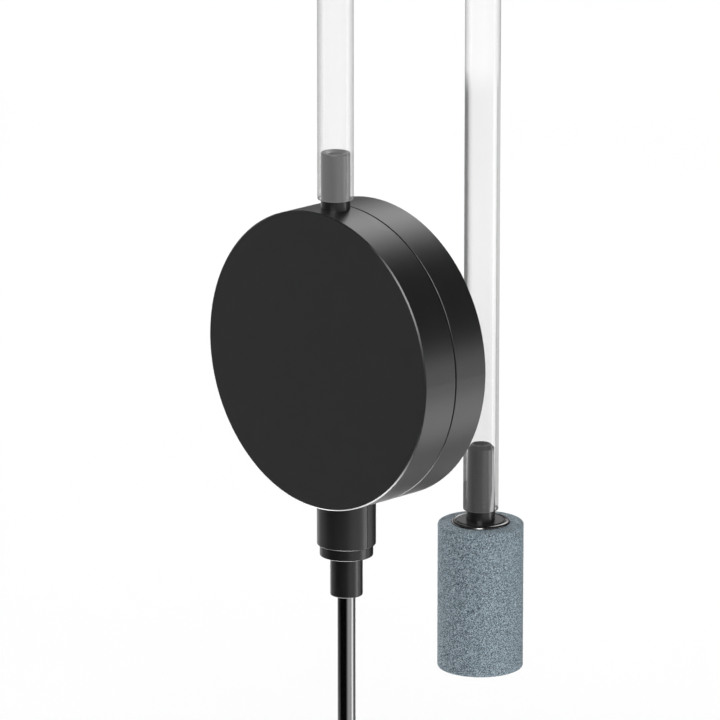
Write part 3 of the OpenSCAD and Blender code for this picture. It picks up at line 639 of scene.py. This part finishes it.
def cable():
    """The jacket with a softly rounded cut end; strands() makes the copper in each core."""
    low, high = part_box("cable_jacket")
    axis = middle("cable_jacket")
    radius = (high.x - low.x) / 2
    collar_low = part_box("cable_grommet")[0].z
    bore = min(math.hypot(v.x - axis.x, v.y - axis.y) for v in vertices("cable_jacket"))
    gripped = vertices("cable_jacket", lambda v: v.z > collar_low + MM)
    inner_r = max(math.hypot(v.x - axis.x, v.y - axis.y) for v in gripped)
    outline = [(bore, high.z), (bore, low.z + 0.05 * MM), (bore + 0.05 * MM, low.z)]
    outline += arc(radius - 0.12 * MM, low.z + 0.12 * MM, 0.12 * MM, -90, 0)
    rows = 40
    outline += [(radius, low.z + 0.2 * MM + (collar_low - low.z - 0.25 * MM) * i / rows)
                for i in range(rows + 1)]
    outline += [(inner_r, collar_low), (inner_r, high.z)]

    def wander(p):
        """Extruded skin: its radius wavers by a few micrometres along the cable."""
        wave = 1 + 0.004 * noise.noise(Vector((p.x * 300, p.y * 300, p.z * 90)))
        return Vector((p.x * wave, p.y * wave, p.z))

    bm = bmesh.new()
    turned(bm, outline, Matrix.Translation((axis.x, axis.y, 0)), 64, wander)
    piece = make_piece("cable_round_jacket", bm)
    use(cable_black, piece)
    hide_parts("cable_jacket")
    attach(piece, "pump")


def strands():
    """Seven twisted strands in place of each solid conductor."""
    low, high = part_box("cable_conductors")
    axis = middle("cable_conductors")
    wire_r = (high.y - low.y) / 2
    offset = (high.x - low.x) / 2 - wire_r
    strand_r = wire_r / 3
    pitch = 5 * MM
    rows, sides, strand_count = 120, 10, 7
    bm = bmesh.new()
    for side in (-1, 1):
        for k in range(strand_count):
            orbit = 0 if k == 0 else 2 * strand_r
            rings = []
            for i in range(rows + 1):
                z = low.z + (high.z - low.z) * i / rows + (0.05 * MM * k if i == 0 else 0)
                turn = 2 * math.pi * ((z - low.z) / pitch + k / (strand_count - 1))
                centre = Vector((axis.x + side * offset + orbit * math.cos(turn),
                                 axis.y + orbit * math.sin(turn), z))
                rings.append([centre + strand_r * Vector((math.cos(a), math.sin(a), 0))
                              for a in (2 * math.pi * j / sides for j in range(sides))])
            swept(bm, rings)
            for ring in (rings[0], rings[-1]):
                bm.faces.new([bm.verts.new(p) for p in ring])
    piece = make_piece("copper_strands", bm, smooth_angle=50)
    use(copper, piece)
    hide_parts("cable_conductors")
    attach(piece, "pump")


# ---------------------------------------------------------------- floor, light


def floor():
    """A plain pale floor below the hanging pump."""
    drop = CAD_BOX[0][2] - 30 * MM
    bm = bmesh.new()
    side = 6
    corners = [bm.verts.new((side * x, side * y, drop)) for x, y in
               ((-1, -1), (1, -1), (1, 1), (-1, 1))]
    bm.faces.new(corners)
    mesh = bpy.data.meshes.new("floor")
    bm.to_mesh(mesh)
    bm.free()
    ground = bpy.data.objects.new("floor", mesh)
    bpy.context.scene.collection.objects.link(ground)
    material, tree = new_material("floor_paint")
    shade = spread(tree, grain(tree, 120 * MM), 0.965, 0.985)
    colour = node(tree, "ShaderNodeCombineColor", {"Red": shade, "Green": shade, "Blue": shade})
    finish_material(tree, node(tree, "ShaderNodeBsdfDiffuse", {"Color": colour}))
    use(material, ground)
    ground.visible_glossy = False


def toward(azimuth, elevation):
    """A direction from the object, as degrees to the right of the camera and above the horizon."""
    az, el = math.radians(azimuth), math.radians(elevation)
    front = Vector((math.sin(CAMERA_AZIMUTH), -math.cos(CAMERA_AZIMUTH), 0))
    right = Vector((math.cos(CAMERA_AZIMUTH), math.sin(CAMERA_AZIMUTH), 0))
    flat = front * math.cos(az) + right * math.sin(az)
    return flat * math.cos(el) + Vector((0, 0, math.sin(el)))


# Soft boxes seen in reflections: azimuth, elevation, half width, half height, softness (degrees)
# and brightness
SOFTBOXES = [
    (42, -18, 30, 17, 19, 1.04),
    (78.5, -20, 6, 18, 2.5, 4.9),
    (105, -31, 17, 12, 7, 2.55),
    (92, -4, 14, 7, 4, 0.8),
    (132, -44, 14, 7, 6, 0.6),
    (161, 38, 18, 13, 18, 4.1),
    (180, 8, 40, 12, 10, 0.15),
    (-135, -35, 47, 16.5, 2, 0.80),
    (-130, 0, 42, 11.5, 4, 0.85),
    (-180, -16, 30, 12, 8, 0.15),
    (160, -38, 30, 14, 12, 0.16),
    (-14, 32, 18, 19, 10, 11.5),
    (-170, -56, 35, 10, 5, 8.0),
    (-155, -44, 14, 9, 5, 6.0),
    (-150, -16, 20, 10, 6, 0.7),
    (0, -90, 200, 22, 8, 20.0),
]
GLOOM = 0.004
# Light that falls on matt surfaces: an even surround, and broad lamps given as azimuth,
# elevation, how tight the beam is (0 to 1) and brightness
SURROUND = 0.10
LAMPS = [
    (28, 34, 0.5, 2.2),
    (-140, 10, 0.6, 4.4),
]


def softbox(tree, way, azimuth, elevation, wide, high, soft, brightness):
    """The light of one soft-edged box, as seen in the direction way."""
    def along(turn):
        return node(tree, "ShaderNodeVectorMath", {0: way, 1: toward(azimuth + turn, 0)},
                    out="Value", operation="DOT_PRODUCT")

    up = node(tree, "ShaderNodeSeparateXYZ", {"Vector": way}, out="Z")
    sideways = maths(tree, "ABSOLUTE", maths(tree, "ARCTAN2", along(90), along(0)))
    rise = maths(tree, "ABSOLUTE", maths(
        tree, "SUBTRACT", maths(tree, "ARCSINE", up), math.radians(elevation)))
    light = brightness
    for off, half in ((sideways, wide), (rise, high)):
        edge = node(tree, "ShaderNodeMapRange", {
            "Value": off, "From Min": math.radians(half + soft),
            "From Max": math.radians(half - soft)}, interpolation_type="SMOOTHSTEP")
        light = maths(tree, "MULTIPLY", edge, light)
    return light


def grey_light(tree, level):
    """A neutral background light."""
    colour = node(tree, "ShaderNodeCombineColor", {"Red": level, "Green": level, "Blue": level})
    return node(tree, "ShaderNodeBackground", {"Color": colour, "Strength": 1.0})


def studio():
    """Soft boxes for the gloss, an even surround for matt surfaces, and plain white behind."""
    world = bpy.data.worlds.new("studio")
    bpy.context.scene.world = world
    world.use_nodes = True
    tree = world.node_tree
    tree.nodes.clear()
    way = node(tree, "ShaderNodeTexCoord", out="Generated")
    mirrored = GLOOM
    for box in SOFTBOXES:
        mirrored = maths(tree, "ADD", softbox(tree, way, *box), mirrored)
    even = SURROUND
    for azimuth, elevation, tight, brightness in LAMPS:
        towards = node(tree, "ShaderNodeVectorMath", {0: way, 1: toward(azimuth, elevation)},
                       out="Value", operation="DOT_PRODUCT")
        even = maths(tree, "ADD", spread(tree, towards, 0, brightness, tight, 1), even)
    path = tree.nodes.new("ShaderNodeLightPath")
    light = node(tree, "ShaderNodeMixShader", {
        0: path.outputs["Is Glossy Ray"], 1: grey_light(tree, even), 2: grey_light(tree, mirrored)})
    surface = node(tree, "ShaderNodeMixShader", {
        0: path.outputs["Is Camera Ray"], 1: light, 2: grey_light(tree, 1.0)})
    output = tree.nodes.new("ShaderNodeOutputWorld")
    tree.links.new(surface, output.inputs["Surface"])
    bpy.context.scene.view_settings.view_transform = "Standard"


def camera():
    """Looks at the disc from the photograph's viewing angle."""
    low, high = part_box("front_housing")
    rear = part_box("rear_housing")[1].y
    disc = Vector((0, (low.y + rear) / 2, 0))
    a, e = CAMERA_AZIMUTH, CAMERA_ELEVATION
    back = Vector((math.sin(a) * math.cos(e), -math.cos(a) * math.cos(e), math.sin(e)))
    right = Vector((math.cos(a), math.sin(a), 0))
    up = back.cross(right)
    data = bpy.data.cameras.new("camera")
    data.sensor_width = SENSOR_MM
    data.lens = FOCAL_PIXELS * SENSOR_MM / FRAME_PIXELS
    data.clip_start = CLIP_START
    data.clip_end = CLIP_END
    view = bpy.data.objects.new("camera", data)
    spot = disc + back * CAMERA_DISTANCE + right * CAMERA_SHIFT[0] + up * CAMERA_SHIFT[1]
    turn = Matrix((right, up, back)).transposed().to_4x4()
    view.matrix_world = Matrix.Translation(spot) @ turn
    bpy.context.scene.collection.objects.link(view)
    bpy.context.scene.camera = view


hose()
stone()
suction_cup()
cable()
strands()
floor()
studio()
camera()
